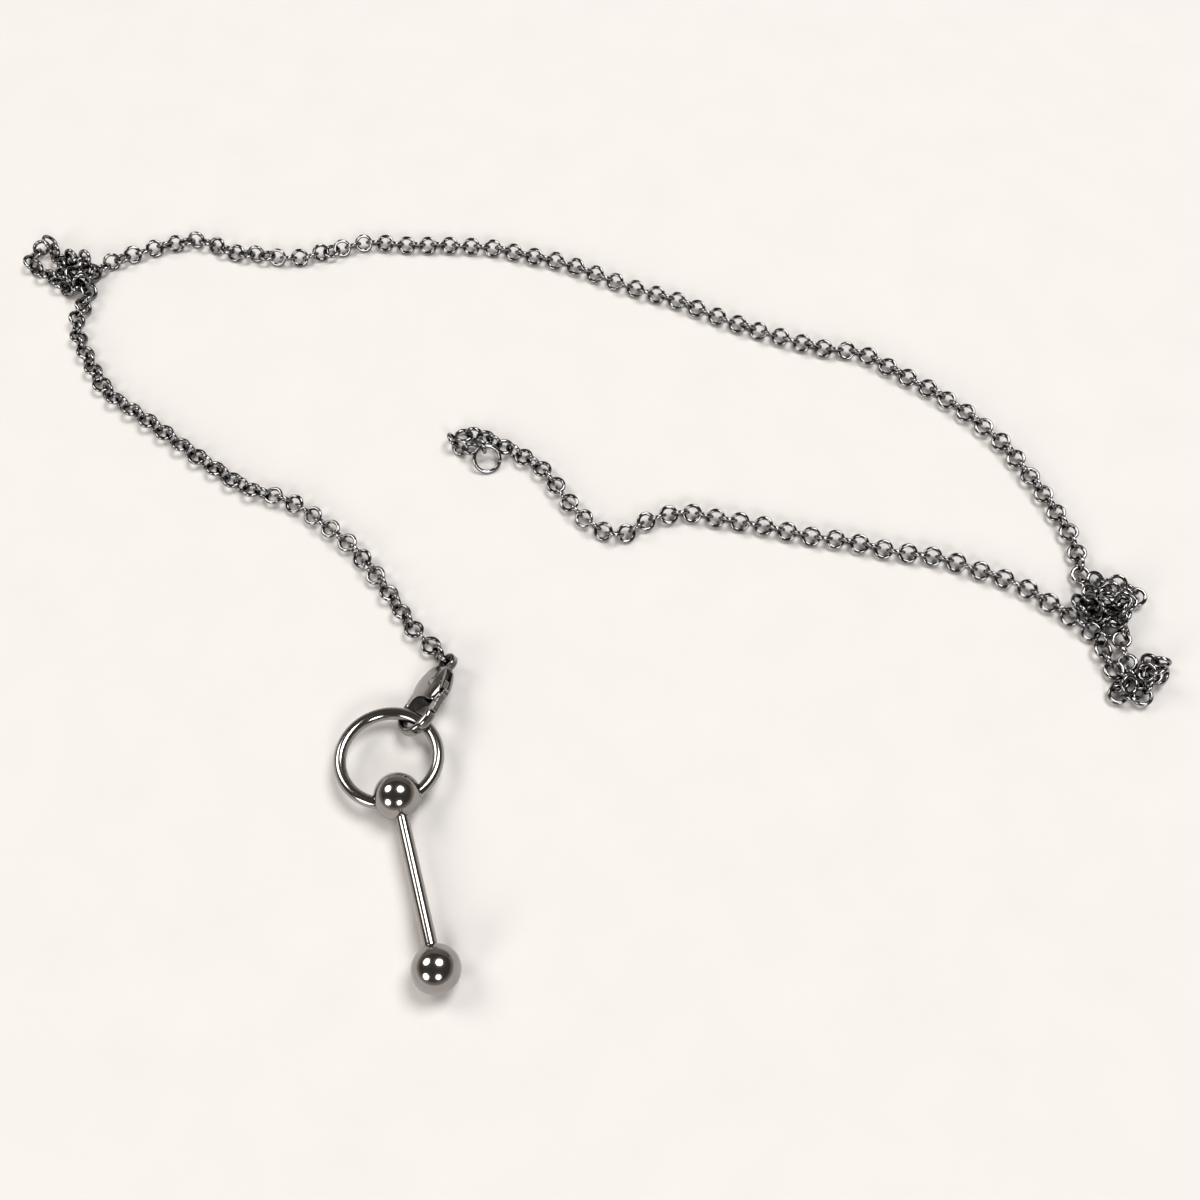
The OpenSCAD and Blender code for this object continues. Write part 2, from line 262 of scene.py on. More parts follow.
profile = sheet_profile()
sheet_points = [(side * SHEET_HALF, y, z) for y, z in profile for side in (-1, 1)]
sheet_faces = [(2 * i, 2 * i + 1, 2 * i + 3, 2 * i + 2) for i in range(len(profile) - 1)]
floor = new_object("paper_sheet", sheet_points, sheet_faces, paper.material)
print("sheet:", len(floor.data.polygons), "strips")

# %% [markdown]
# ## Light
# Polished steel shows the room rather than itself. The round white spots on the balls in the
# photograph are four round softboxes, so their directions can be read off the spots: the line that
# halves the angle between a spot's reflection and the camera is the ball's surface there. The rest of
# the room is dark overhead and pale low down, where the paper goes on.

# %% Four round softboxes
SOFTBOX_DISTANCE = 1000.0
WARM, COOL = (1.0, 0.975, 0.94), (0.975, 0.985, 1.0)
SOFTBOXES = [
    ("softbox_left_back", (-0.62, 0.286, 0.733), 490, 4.6, WARM),
    ("softbox_main", (0.31, 0.248, 0.916), 505, 9.6, COOL),
    ("softbox_left_front", (-0.59, -0.65, 0.475), 425, 4.0, WARM),
    ("softbox_front", (0.25, -0.759, 0.599), 350, 3.8, COOL),
]
for name, way, diameter, power, tint in SOFTBOXES:
    light = bpy.data.lights.new(name, "AREA")
    light.shape = "DISK"
    light.size = diameter * MM
    light.energy = power
    light.color = tint
    lamp = bpy.data.objects.new(name, light)
    lamp.location = Vector(unit(way)) * SOFTBOX_DISTANCE * MM
    lamp.rotation_euler = Vector(way).to_track_quat("Z", "Y").to_euler()
    scene.collection.objects.link(lamp)

# %% Room that is pale low down and dark overhead
room = bpy.data.worlds.new("room")
scene.world = room
room.use_nodes = True
room_nodes, room_links = room.node_tree.nodes, room.node_tree.links
where = room_nodes.new("ShaderNodeTexCoord")
split = room_nodes.new("ShaderNodeSeparateXYZ")
fade = room_nodes.new("ShaderNodeValToRGB")
room_links.new(where.outputs["Generated"], split.inputs["Vector"])
room_links.new(split.outputs["Z"], fade.inputs["Fac"])
LOW_COLOUR, OVERHEAD_COLOUR, OVERHEAD_FROM = (0.58, 0.53, 0.46, 1), (0.088, 0.076, 0.068, 1), 0.35
low, overhead = fade.color_ramp.elements
low.color = LOW_COLOUR
overhead.position = OVERHEAD_FROM
overhead.color = OVERHEAD_COLOUR
room_links.new(fade.outputs["Color"], room_nodes["Background"].inputs["Color"])
room_nodes["Background"].inputs["Strength"].default_value = 1.0
scene.view_settings.view_transform = "Standard"
print("softboxes:", [name for name, *rest in SOFTBOXES])

# %% [markdown]
# ## The finishes of one dark steel
# All the metal is dark polished steel, but not all equally: the barbell and its ring are lapped to a
# mirror with faint hairlines, the clasp is a casting that was only tumbled, and the inside of its hook is
# rougher, as cast, and coloured near-black as painted shade. Every finish also has painted shade in its
# hollows: its colour is dimmed where nearby parts shut the surface in. This is strongest on the chain,
# whose links were tumbled in bulk, and on the clasp, and weakest on the barbell. What tells them apart is
# mostly the roughness and how much painted shade the hollows get, and little the colour.


# %% Polished, cast and tumbled steel
STAIN_SIZE, GRAIN_SIZE, LINE_SIZE = 2.2 * MM, 0.35 * MM, 0.12 * MM
LINE_STRETCH, LINE_TURN = (1, 1, 14), (0.4, 0.7, 0.2)


def steel(name, dark, light, rough, hairline, grain, **hollow):
    made = Finish(name, Metallic=1.0)
    stain = made.noise(STAIN_SIZE, 4)
    # The base colour gets painted shade in its hollows, down to least, from parts within reach.
    made.colours(stain, (0.32, dark), (0.68, light), painted_shade=made.painted_hollow_shade(**hollow))
    lines = made.noise(LINE_SIZE, 2, 0.6, made.stretched(LINE_STRETCH, LINE_TURN))
    made.link(made.range(lines, *rough), made.shader.inputs["Roughness"])
    fine = made.noise(GRAIN_SIZE, 3)
    made.bump((fine, 1.0, grain), (lines, 1.0, hairline))
    return made.material


polished_steel = steel("polished_steel", (0.315, 0.3, 0.288), (0.35, 0.335, 0.322), rough=(0.1, 0.16),
                       hairline=0.00006 * MM, grain=0.0003 * MM, reach=1.0 * MM, least=0.5)
clasp_steel = steel("clasp_steel", (0.28, 0.272, 0.268), (0.33, 0.322, 0.316), rough=(0.08, 0.15),
                    hairline=0.0001 * MM, grain=0.0006 * MM, reach=1.4 * MM, least=0.12)
# Near-black base colour: painted shade for the inside of the hook, the lever's slot and the spring's groove;
# the higher roughness is the rough as-cast surface.
clasp_shade_steel = steel("clasp_shade_steel", (0.045, 0.042, 0.042), (0.075, 0.07, 0.07), rough=(0.16, 0.3),
                          hairline=0.0001 * MM, grain=0.002 * MM, reach=1.0 * MM, least=0.4)
chain_steel = steel("chain_steel", (0.19, 0.184, 0.186), (0.28, 0.272, 0.274), rough=(0.05, 0.1),
                    hairline=0.0001 * MM, grain=0.0005 * MM, reach=1.2 * MM, least=0.1,
                    shut=0.35, clear=0.92)
steels = (polished_steel, clasp_steel, clasp_shade_steel, chain_steel)
print("steels:", [made.name for made in steels])


# %% [markdown]
# ## Turned pieces
# A ball and a post come off a lathe, and so they do here: a profile of distances along an axis and
# radii is turned round it. Small steps in the profile at an edge are its rounding, which is what
# catches the light on a real piece.


# %% Lathe
def square_to(axis):
    side = unit(np.cross(axis, UP if abs(axis @ UP) < 0.9 else (1.0, 0, 0)))
    return side, np.cross(axis, side)


def lathe(name, origin, axis, profile, material, sides, groove=None):
    """Turns (along, radius) pairs round an axis; groove gives how much a place is cut back."""
    across, over = square_to(axis)
    points, rows = [], []
    for along, radius in profile:
        if radius < 1e-6:
            rows.append([len(points)] * sides)
            points.append(origin + along * axis)
            continue
        rows.append(list(range(len(points), len(points) + sides)))
        for k in range(sides):
            angle = 2 * math.pi * k / sides
            cut = groove(along, angle) if groove else 0
            rim = math.cos(angle) * across + math.sin(angle) * over
            points.append(origin + along * axis + (radius - cut) * rim)
    faces = []
    for low, high in zip(rows, rows[1:]):
        for k in range(sides):
            j = (k + 1) % sides
            corner = [low[k], low[j], high[j], high[k]]
            face = [c for i, c in enumerate(corner) if c != corner[i - 1]]
            if len(face) > 2:
                faces.append(face)
    return new_object(name, points, faces, material)


def rounded(corner_from, corner, corner_to, radius, steps=4):
    """Points that round a corner of a profile."""
    before, at, after = (np.array(p, float) for p in (corner_from, corner, corner_to))
    start = at + radius * unit(before - at)
    end = at + radius * unit(after - at)
    share = np.linspace(0, 1, steps + 1)[:, None]
    return [tuple(p) for p in (1 - share) ** 2 * start + 2 * share * (1 - share) * at + share ** 2 * end]


# %% Sizes of the barbell
ball_r = np.subtract(*span("end_ball", UP)[::-1]) / 2
post_low, post_high = span("bar", cross_way)
post_r = (post_high - post_low) / 2
end_ball_far = span("end_ball", post_way)[1]
ball_pitch = end_ball_far - ball_r - ball_at @ post_way
stud_from, stud_to = (s - ball_at @ post_way for s in span("bar", post_way))
bar_points = corners("bar") - ball_at
bar_along = bar_points @ post_way
from_axis = np.linalg.norm(bar_points - bar_along[:, None] * post_way, axis=1)
on_shaft = bar_along[from_axis > 0.9 * post_r]
shaft_from, shaft_to = on_shaft.min(), on_shaft.max()
print(f"balls {2 * ball_r:.2f} mm, post {2 * post_r:.2f} mm, {ball_pitch:.2f} mm between centres")

# %% [markdown]
# ## The post
# The post is a plain rod with its ends cut square and a thinner threaded stud on each, which screws
# into a ball. The thread only shows when a ball is backed off, but it costs one line: the stud's radius
# is cut back by a wave that climbs as it goes round.

# %% Post with threaded studs
STUD_R = 0.5
THREAD_PITCH, THREAD_DEPTH = 0.25, 0.06
EDGE = 0.08
STUD_GAP, SHAFT_INSET, SHAFT_ROWS = 0.02, 0.5, 12


def thread(along, angle):
    on_stud = along < shaft_from - STUD_GAP / 2 or along > shaft_to + STUD_GAP / 2
    turns = along / THREAD_PITCH + angle / (2 * math.pi)
    return THREAD_DEPTH * abs(2 * (turns % 1) - 1) if on_stud else 0


def stud_rows(start, end):
    return [(s, STUD_R) for s in np.arange(start, end, THREAD_PITCH / 8)]


post_profile = [(stud_from, 0)] + stud_rows(stud_from, shaft_from - STUD_GAP)
post_profile += rounded((shaft_from, STUD_R), (shaft_from, post_r), (shaft_to, post_r), EDGE)
shaft_rows = np.linspace(shaft_from + SHAFT_INSET, shaft_to - SHAFT_INSET, SHAFT_ROWS)
post_profile += [(s, post_r) for s in shaft_rows]
post_profile += rounded((shaft_from, post_r), (shaft_to, post_r), (shaft_to, STUD_R), EDGE)
post_profile += stud_rows(shaft_to + STUD_GAP, stud_to) + [(stud_to, 0)]
post = lathe("post", ball_at, post_way, post_profile, polished_steel, 64, thread)
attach(post, "barbell")
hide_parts("bar")
print("post from", round(stud_from, 2), "to", round(stud_to, 2), "mm from the upper ball's centre")

# %% [markdown]
# ## The two balls
# Both balls are turned from one profile idea: an arc from pole to pole. The lower one has the post's
# recess and bore at one pole. The upper one has its poles on the ring's cross axis instead, because the
# ring's ends sit there, in a shallow dimple on each side.

# %% Lower ball, bored for the post
FIT = 0.03
RECESS_R = post_r + FIT
BORE_R = STUD_R + FIT
SHOULDER_AT = shaft_from - 0.025
BORE_END = 1.277
LIP = 0.03
SKIN_INWARD, SKIN_OUTWARD = 0.35, 0.85
ARC_STEPS = 96


def arc(radius, start, end, steps):
    return [(radius * math.cos(a), radius * math.sin(a)) for a in np.linspace(start, end, steps + 1)]


def opening(rim_r, floor_at, bore_r, bore_floor):
    """Profile from the bottom of a bore out to a ball's surface, with a broken edge at the rim."""
    rim = math.sqrt(ball_r ** 2 - rim_r ** 2)
    edge = rounded((floor_at, rim_r), (rim, rim_r), (rim - SKIN_INWARD, rim_r + SKIN_OUTWARD), LIP)
    return [(bore_floor, 0), (bore_floor, bore_r), (floor_at, bore_r), (floor_at, rim_r)] + edge


rim_angle = math.asin((RECESS_R + 2 * LIP) / ball_r)
bored = opening(RECESS_R, SHOULDER_AT, BORE_R, BORE_END) + arc(ball_r, rim_angle, math.pi, ARC_STEPS)
lower_ball = lathe("screw_on_ball", ball_at + ball_pitch * post_way, -post_way, bored, polished_steel, 128)
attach(lower_ball, "unscrewing_ball")
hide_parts("end_ball")
print("lower ball:", len(lower_ball.data.polygons), "faces")

# %% Upper ball, dimpled for the ring
DIMPLE_R = 1.07
DIMPLE_FLOOR = 2.653
PIN_R = 0.45
PIN_BORE_END = 1.7
dimple = opening(DIMPLE_R, DIMPLE_FLOOR, PIN_R + FIT, PIN_BORE_END)
rim_angle = math.asin((DIMPLE_R + 2 * LIP) / ball_r)
dimpled = dimple + arc(ball_r, rim_angle, math.pi - rim_angle, ARC_STEPS)
dimpled += [(-s, r) for s, r in dimple[::-1]]
upper_ball = lathe("captive_ball", ball_at, cross_way, dimpled, polished_steel, 128)
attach(upper_ball, "barbell")
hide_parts("ring_ball")
print("upper ball:", len(upper_ball.data.polygons), "faces")

# %% [markdown]
# ## The captive ring
# A ring of round wire, cut open where the ball sits and sprung over it. It is swept here as rows of
# section points round the arc. Both cuts are square to the cross axis, so each line along the wire stops
# at its own angle, and a small pin on each end turns in the ball.


# %% Wire ring with square-cut, pinned ends
def sweep_faces(rows, sides, closed):
    count = rows if closed else rows - 1
    return [(i * sides + k, i * sides + (k + 1) % sides,
             (i + 1) % rows * sides + (k + 1) % sides, (i + 1) % rows * sides + k)
            for i in range(count) for k in range(sides)]


ring_axis = ring_plane("swing_ring")
ring_way = unit(-post_way - (-post_way @ ring_axis) * ring_axis)
wire_low, wire_high = span("swing_ring", ring_axis)
wire_r = (wire_high - wire_low) / 2
ring_half = np.subtract(*span("swing_ring", cross_way)[::-1]) / 2
ring_mean = ring_half - wire_r
ring_at = ball_at + math.sqrt(ring_mean ** 2 - ball_r ** 2) * ring_way
RING_END = DIMPLE_FLOOR + 0.1
PIN_TIP = 1.803
PIN_ROOT = 0.2
RING_ROWS, RING_SIDES = 200, 48


def ring_point(share, section):
    """A place on the ring's skin: share of the way from cut to cut, and angle round the wire."""
    from_end = min(share, 1 - share) * 2 * math.pi * ring_mean
    tuck = EDGE * max(0, 1 - from_end / EDGE) ** 2
    radius = wire_r - tuck
    out = ring_mean + radius * math.cos(section)
    stop = math.acos(RING_END / out)
    angle = -stop + share * (math.pi + 2 * stop)
    flat = out * (math.cos(angle) * cross_way + math.sin(angle) * ring_way)
    return ring_at + flat + radius * math.sin(section) * ring_axis


near_cut = [0, 0.0006, 0.0013, 0.002]
shares = near_cut + list(np.linspace(0.004, 0.996, RING_ROWS - 8)) + [1 - s for s in near_cut[::-1]]
sections = [2 * math.pi * k / RING_SIDES for k in range(RING_SIDES)]
ring_points = [ring_point(share, section) for share in shares for section in sections]
ring_faces = sweep_faces(len(shares), RING_SIDES, False)
ring_faces += [list(range(RING_SIDES))[::-1], list(range(len(ring_points) - RING_SIDES, len(ring_points)))]
hung_ring = new_object("hung_ring", ring_points, ring_faces, polished_steel)
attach(hung_ring, "root")
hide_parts("swing_ring")
for side, name in ((1, "ring_pin_right"), (-1, "ring_pin_left")):
    pin_profile = [(PIN_TIP, 0)] + rounded((PIN_TIP, 0), (PIN_TIP, PIN_R), (RING_END, PIN_R), EDGE)
    pin_profile += [(RING_END + PIN_ROOT, PIN_R), (RING_END + PIN_ROOT, 0)]
    pin = lathe(name, ball_at, side * cross_way, pin_profile, polished_steel, 32)
    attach(pin, "root")
    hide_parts("swing_ring")
print(f"ring {2 * ring_half:.1f} mm across, wire {2 * wire_r:.1f} mm")

# %% [markdown]
# ## The clasp
# A lobster clasp is a small casting, so no edge on it is sharp: the tumbling drum has rounded them all.
# Its form is the frame's own. The way to round it everywhere at once is to rebuild a copy of it out of
# fine, even cells and let neighbouring points pull towards each other a little. The lever is thinner, so
# it gets finer cells, across which the same pull reaches less far.


# %% Soften a copy of a node
EASE = 0.6


def evaluated(made):
    """The mesh of a piece with its modifiers done."""
    return bpy.data.meshes.new_from_object(made.evaluated_get(bpy.context.evaluated_depsgraph_get()))


def vectors(of, what):
    flat = np.zeros(len(of) * 3)
    of.foreach_get(what, flat)
    return flat.reshape(-1, 3)


def softened(name, node, cell, rounds, material, added=(), shape=None):
    """A rounded copy of a node, grown together with the added blocks, and reshaped before it is eased."""
    points = list(corners(node))
    faces = [list(face.vertices) for face in frame["nodes"][node].data.polygons]
    for block in added:
        faces += [[len(points) + i for i in side] for side in BLOCK_SIDES]
        points += block
    made = new_object(name, points, faces, material)
    rebuild = made.modifiers.new("rebuild", "REMESH")
    rebuild.mode = "VOXEL"
    rebuild.voxel_size = cell * MM
    rebuild.use_smooth_shade = True
    made.data = evaluated(made)
    made.modifiers.clear()
    if shape:
        skin = shape(vectors(made.data.vertices, "co") / MM)
        made.data.vertices.foreach_set("co", (skin * MM).ravel())
    ease = made.modifiers.new("ease", "SMOOTH")
    ease.factor = EASE
    ease.iterations = rounds
    made.data = evaluated(made)
    made.modifiers.clear()
    made.data.name = name
    print(name, len(made.data.polygons), "faces")
    return made


# %% The clasp's own directions, and where its cheeks swell
CHEEK_HALF = np.subtract(*span("clasp_body", clasp_front)[::-1]) / 2
DOME_R, DOME_DOWN = 10.5, 4.275
SLOT_HALF, SLOT_TOP = 0.5, 2.7
EDGE_HALF, CROWN_HALF = 0.54, 1.32
CROWN_DOWN, PILLOW_ACROSS, PILLOW_DOWN, PILLOW_UP = 3.8, 3.0, 3.2, 3.1
GROOVE_TOP, GROOVE_DEEP = 1.0, 0.4
GROOVE_INSET, GROOVE_SIDE, GROOVE_END, GROOVE_FROM = 0.04, 0.08, 0.2, 0.3
HOOK_DOWN, HOOK_INNER = 8.1, 2.15
EYE_MEAN, EYE_HALF = 1.05, 0.36
EYE_BAND, EYE_FLATNESS, EYE_REACH, EYE_DOWN = 0.42, 0.75, 1.5, 0.8
CHEEK_BLEND, CHEEK_THIN, CHEEK_STOP = 0.12, 0.05, 2


def in_clasp(points):
    """Coordinates from the eye's centre: across to the lever, down to the hook, and out of the front."""
    step = np.asarray(points) - eye_at
    return step @ clasp_across, -(step @ clasp_along), step @ clasp_front


def ramp(value, width):
    return np.clip(value / width, 0, 1)


def spring_groove(across, down, front):
    """How much of the groove's depth a place gets: 1 well inside of it, and 0 outside."""
    inside = ramp(SLOT_HALF - GROOVE_INSET - abs(front), GROOVE_SIDE)
    inside = inside * ramp(down - GROOVE_TOP, GROOVE_END) * ramp(SLOT_TOP + GROOVE_END - down, GROOVE_END)
    return inside * (across > GROOVE_FROM)


def pillow(skin):
    """Swells the cheeks, rounds the eye and carries the lever's slot on as a groove for the spring."""
    across, down, front = in_clasp(skin)
    out = abs(front)
    dome = np.sqrt(DOME_R ** 2 - across ** 2 - (down - DOME_DOWN) ** 2) - DOME_R + CHEEK_HALF
    reach = np.where(down > CROWN_DOWN, PILLOW_DOWN, PILLOW_UP)
    rise = 1 - (across / PILLOW_ACROSS) ** 2 - ((down - CROWN_DOWN) / reach) ** 2
    height = EDGE_HALF + (CROWN_HALF - EDGE_HALF) * np.sqrt(np.clip(rise, 0, 1))
    swell = (height - SLOT_HALF) / np.maximum(dome - SLOT_HALF, CHEEK_THIN)
    share = ramp(dome - EDGE_HALF, CHEEK_BLEND) * (down < HOOK_DOWN - CHEEK_STOP) * (out > SLOT_HALF)
    grown = share * (out - SLOT_HALF) * (swell - 1)
    from_eye = np.hypot(across, down)
    across_wire = np.clip((from_eye - EYE_MEAN) / EYE_BAND, -1, 1)
    round_eye = np.sqrt(1 - EYE_FLATNESS * across_wire ** 2) - 1
    grown += out * round_eye * (down < EYE_DOWN) * (from_eye < EYE_REACH)
    skin = skin + (grown * np.sign(front))[:, None] * clasp_front
    return skin - (GROOVE_DEEP * spring_groove(across, down, front))[:, None] * clasp_across


# %% Casting and lever
BLOCK_SIDES = [(0, 1, 3, 2), (4, 6, 7, 5), (0, 4, 5, 1), (2, 3, 7, 6), (0, 2, 6, 4), (1, 5, 7, 3)]


def lever_head(rows, half):
    """A block on the lever: rows of (along, inner edge, outer edge), measured from its pivot."""
    return [pivot_at + x * clasp_across + y * clasp_along + z * clasp_front
            for y, x_from, x_to in rows for x in (x_from, x_to) for z in (-half, half)]


CASTING_CELL, LEVER_CELL, EASE_ROUNDS = 0.055, 0.045, 14
HEAD_ROWS, HEAD_HALF = [(-0.75, 0.5, 1.72), (0.96, 0.1, 1.2)], 0.42
casting = softened("clasp_casting", "clasp_body", CASTING_CELL, EASE_ROUNDS, clasp_steel, shape=pillow)
head = lever_head(HEAD_ROWS, HEAD_HALF)
thumb_lever = softened("thumb_lever", "clasp_lever", LEVER_CELL, EASE_ROUNDS, clasp_steel, [head])

# %% Rivet
rivet_low, rivet_high = span("clasp_rivet", clasp_across)
RIVET_HALF, RIVET_SPREAD, RIVET_EDGE = 1.28, 0.02, 0.03
rivet_r = (rivet_high - rivet_low) / 2 + RIVET_SPREAD
rivet_profile = [(-RIVET_HALF, 0)]
rivet_profile += rounded((-RIVET_HALF, 0), (-RIVET_HALF, rivet_r), (0, rivet_r), RIVET_EDGE)
rivet_profile += [(-s, r) for s, r in rivet_profile[::-1]]
rivet_pin = lathe("rivet_pin", pivot_at, clasp_front, rivet_profile, clasp_steel, 48)
print(f"rivet {2 * RIVET_HALF:.2f} mm long")

# %% The inside of the hook, the lever's slot and the spring's groove get near-black painted shade
FACING_IN, NEAR_HOOK, FACING_FRONT, NEAR_SLOT, IN_GROOVE = 0.45, 0.25, 0.7, 0.03, 0.6
casting.data.materials.append(clasp_shade_steel)
sides = casting.data.polygons
across, down, front = in_clasp(vectors(sides, "center") / MM)
facing = vectors(sides, "normal")
to_hook = np.stack([-across, HOOK_DOWN - down], 1)
from_hook = np.linalg.norm(to_hook, axis=1)
inward = (facing @ clasp_across * to_hook[:, 0] - facing @ clasp_along * to_hook[:, 1]) / from_hook
# Faces that get the painted shade: those facing into the hook, the slot's inner walls, and the groove.
painted_shade_faces = (inward > FACING_IN) & (from_hook < HOOK_INNER + NEAR_HOOK)
painted_shade_faces |= (abs(facing @ clasp_front) > FACING_FRONT) & (abs(front) < SLOT_HALF + NEAR_SLOT)
painted_shade_faces |= spring_groove(across, down, front) > IN_GROOVE
sides.foreach_set("material_index", painted_shade_faces.astype(int))
# The count is of the faces with painted shade.
print(painted_shade_faces.sum(), "faces given painted shade")
for piece, body, node in ((casting, "root", "clasp_body"), (thumb_lever, "lever", "clasp_lever"),
                          (rivet_pin, "root", "clasp_rivet")):
    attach(piece, body)
    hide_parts(node)

# %% [markdown]
# ## The small end ring
# A jump ring of round wire whose two ends are only pressed together, so a hair-fine seam crosses it.

# %% Jump ring
end_axis = ring_plane("end_ring")
end_points = corners("end_ring")
end_at = (end_points.min(0) + end_points.max(0)) / 2
end_wire = np.subtract(*span("end_ring", end_axis)[::-1]) / 2
end_mean = np.linalg.norm(end_points - end_at, axis=1).max() - end_wire
end_down = unit(-UP + (UP @ end_axis) * end_axis)
end_side = np.cross(end_axis, end_down)
SEAM_HALF, SEAM_TUCK, TUCK_SHARES = 0.012, 0.03, 260
SEAM_FROM_LOW = math.radians(62)


def jump_point(share, section):
    radius = end_wire - SEAM_TUCK * max(0, 1 - min(share, 1 - share) * TUCK_SHARES) ** 2
    angle = SEAM_FROM_LOW + SEAM_HALF + share * (2 * math.pi - 2 * SEAM_HALF)
    out = end_mean + radius * math.cos(section)
    return end_at + out * (math.cos(angle) * end_down + math.sin(angle) * end_side) \
        + radius * math.sin(section) * end_axis


JUMP_ROWS, JUMP_SIDES = 90, 24
jump_shares = [0, 0.001, 0.0022] + list(np.linspace(0.0045, 0.9955, JUMP_ROWS)) + [0.9978, 0.999, 1]
jump_points = [jump_point(s, 2 * math.pi * k / JUMP_SIDES) for s in jump_shares for k in range(JUMP_SIDES)]
jump_faces = sweep_faces(len(jump_shares), JUMP_SIDES, False)
jump_faces += [list(range(JUMP_SIDES))[::-1], list(range(len(jump_points) - JUMP_SIDES, len(jump_points)))]
jump_ring = new_object("jump_ring", jump_points, jump_faces, chain_steel)
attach(jump_ring, "root")
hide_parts("end_ring")
print(f"end ring {2 * (end_mean + end_wire):.1f} mm across")

# %% [markdown]
# ## The leash's route
# The leash is about half a metre of fine chain that was dropped rather than laid out: three loose runs,
# with a bunched heap wherever it doubled back. The runs repeat the part's own route on the table. The
# two big heaps are a path, turn over turn, through the space that the part keeps for them: each
# point is a place in the picture and a height over the table, and the camera turns that into a place
# in space. One smooth curve through all of it is the line that the links are threaded on.

# %% Listed points of the runs, in millimetres on the photograph's table
RUN_FROM_CLASP = [
    (-21.3, -8.5), (-23.5, -6.3), (-26, -3.4), (-29.5, 2), (-33.5, 7), (-38.5, 11.5), (-43.5, 15),
    (-49, 16.8), (-54.1, 20.1), (-60.1, 24.6), (-66.1, 29.2), (-71.5, 33.5), (-75.5, 39.5), (-78, 45),
    (-78, 48.5)]
RUN_ACROSS = [
    (-76, 56.8), (-72, 59), (-67, 61), (-62, 62), (-57, 60), (-52, 59), (-46.5, 58.5), (-41, 60),
    (-35, 61.5), (-29, 61), (-23, 61), (-17, 60.5), (-11, 59), (-5.5, 57.5), (0, 55), (5.5, 52.5),
    (11, 50.5), (17, 47.5), (22.5, 45), (28, 43), (33, 41.3), (38.5, 40.4), (43.5, 37), (48.5, 33.5),
    (53, 29.5), (57, 25), (60, 20), (62.5, 15), (65, 8.5), (65.4, 3)]
RUN_BACK = [
    (65.9, -5.9), (64.2, -4.2), (62, -2.2), (59.5, -0.4), (57, 1.6), (51.5, 4), (46, 6), (40, 7),
    (34, 8.5), (28, 9.5), (22.5, 11), (17, 12), (12, 13), (7, 12), (2.5, 9.5), (-1.5, 11.5),
    (-5, 15.5), (-8, 20), (-13, 23.5)]
END_HEAP = [
    (-15.0, 24.8, 1.5), (-17.0, 25.8, 1.5), (-19.2, 26.0, 1.4), (-20.8, 25.2, 1.4), (-20.3, 23.9, 2.0)]
LYING_HEIGHT = 1.15

# %% Listed points of the two big heaps: pixels right and down, and a height in millimetres
LEFT_HEAP = [
    (83, 311, 1.4), (83, 302, 1.4), (88, 294, 1.5), (86, 285, 2.0), (78, 281, 2.4), (71, 290, 1.6),
    (64, 286, 1.4), (59, 281, 1.4), (51, 277, 1.3), (43, 272, 1.3), (35, 267, 1.3), (30, 264, 1.3),
    (32, 256, 1.4), (37, 249, 1.6), (42, 243, 2.2), (47, 239, 2.6), (50, 243, 2.0), (54, 250, 1.6),
    (58, 257, 1.4), (60, 264, 1.4), (62, 272, 1.6), (70, 278, 2.0), (68, 268, 2.0), (64, 259, 1.8),
    (69, 253, 2.2), (76, 256, 3.0), (82, 255, 3.6), (86, 262, 3.4), (80, 268, 3.6), (72, 266, 3.6),
    (72, 274, 3.2), (80, 278, 3.0), (88, 276, 2.0), (93, 272, 1.4)]
RIGHT_HEAP = [
    (1087, 586, 1.4), (1095, 581, 1.4), (1106, 580, 1.4), (1118, 582, 1.4), (1129, 586, 1.4),
    (1136, 591, 1.4), (1136, 599, 1.3), (1130, 606, 1.3), (1120, 613, 1.3), (1110, 614, 1.3),
    (1100, 610, 1.3), (1091, 603, 1.3), (1083, 600, 1.8), (1079, 604, 2.4), (1085, 609, 2.2),
    (1094, 612, 2.4), (1100, 603, 3.4), (1090, 592, 3.4), (1098, 586, 3.8), (1110, 586, 4.0),
    (1122, 590, 4.2), (1132, 594, 4.2), (1128, 602, 4.0), (1116, 604, 4.0), (1106, 600, 4.4),
    (1108, 594, 5.0), (1120, 597, 5.2), (1128, 606, 4.4), (1124, 614, 3.2), (1114, 619, 2.2),
    (1106, 622, 1.5), (1112, 629, 1.4), (1121, 626, 1.8), (1124, 633, 1.4), (1120, 640, 1.4),
    (1124, 648, 1.4), (1128, 660, 1.4), (1131, 669, 1.5),
    (1136, 676, 1.4), (1146, 678, 1.4), (1158, 678, 1.4), (1166, 672, 1.4), (1165, 664, 1.4),
    (1155, 661, 1.4), (1146, 664, 2.0), (1146, 671, 3.2), (1156, 672, 3.8), (1160, 667, 3.6),
    (1154, 676, 3.2), (1150, 684, 2.2), (1146, 692, 1.5), (1140, 698, 1.3), (1130, 697, 1.3),
    (1121, 695, 1.3), (1117, 688, 1.4), (1123, 682, 2.0), (1130, 684, 2.8), (1129, 676, 2.4),
    (1120, 673, 1.6), (1112, 666, 1.3), (1105, 658, 1.3), (1102, 648, 1.3), (1102, 638, 1.3)]

# %% One smooth curve through the points
LINK_OUT, LINK_WIRE = 2.71, 0.51
FIRST_DIP = 27
LAST_WAY, LAST_HANG = np.array([-1.0, 0.25, -0.35]), 0.52
CURVE_STEPS = 24
link_r = (LINK_OUT - LINK_WIRE) / 2
eye_axis = clasp_front
first_way = table_step + (*RUN_FROM_CLASP[0], 0) - eye_at
first_way[2] = -math.tan(math.radians(FIRST_DIP)) * np.linalg.norm(first_way[:2])
first_way = unit(first_way)
first_at = eye_at + link_r * first_way

